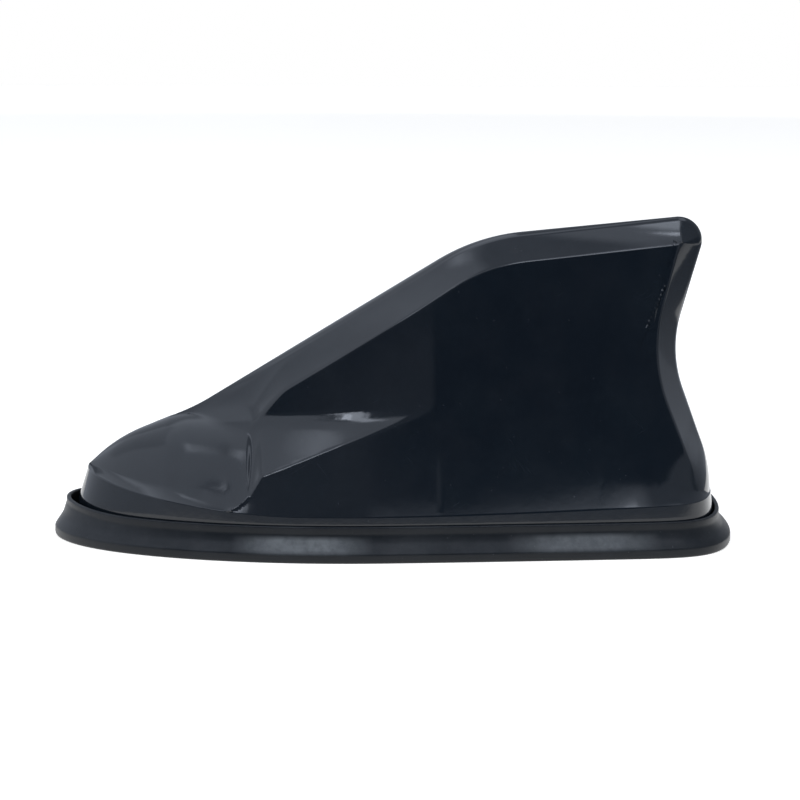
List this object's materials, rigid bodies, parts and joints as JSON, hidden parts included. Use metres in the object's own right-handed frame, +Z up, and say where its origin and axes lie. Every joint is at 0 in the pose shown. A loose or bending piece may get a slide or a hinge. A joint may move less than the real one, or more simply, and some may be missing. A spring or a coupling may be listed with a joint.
{
  "type": "shark fin roof aerial",
  "caption": "Fin-shaped vehicle roof aerial: moulded cover with a domed nose on a rubber skirt, over a base plate with coil, board and cable outlet.",
  "frame": {"origin": "on the roof plane, under the middle of the part", "axes": "+X towards the tail, +Y across, +Z up from the roof"},
  "size_m": [0.17, 0.0764, 0.0796],
  "materials": {
    "cover_plastic": "gloss black",
    "skirt_rubber": "satin black",
    "base_plastic": "matt black",
    "pad_foam": "matt dark grey foam",
    "zinc_steel": "bright zinc",
    "board_laminate": "green solder resist",
    "tinned_sheet": "tinned",
    "chip_black": "matt black",
    "chip_tan": "glazed tan",
    "ferrite": "dark grey",
    "gold_plate": "gold plated",
    "white_plastic": "natural white",
    "former_plastic": "natural nylon",
    "copper_wire": "enamelled copper"
  },
  "bodies": {
    "root": {"fin_cover": "cover_plastic", "rubber_skirt": "skirt_rubber", "base_plate": "base_plastic", "adhesive_pad": "pad_foam", "cable_grommet": "skirt_rubber", "cover_screws": "zinc_steel", "main_board": "board_laminate", "board_screws": "zinc_steel", "shield_can": "tinned_sheet", "amplifier_chip": "chip_black", "chip_capacitors": "chip_tan", "chip_resistors": "chip_black", "filter_coils": "ferrite", "lead_socket": "gold_plate", "socket_insulator": "white_plastic", "socket_pin": "gold_plate", "supply_header": "white_plastic", "header_pins": "tinned_sheet", "coil_former": "former_plastic", "former_screws": "zinc_steel", "antenna_coil": "copper_wire", "top_plate": "tinned_sheet", "plate_screw": "zinc_steel", "damping_pad": "pad_foam"}
  },
  "joints": []
}
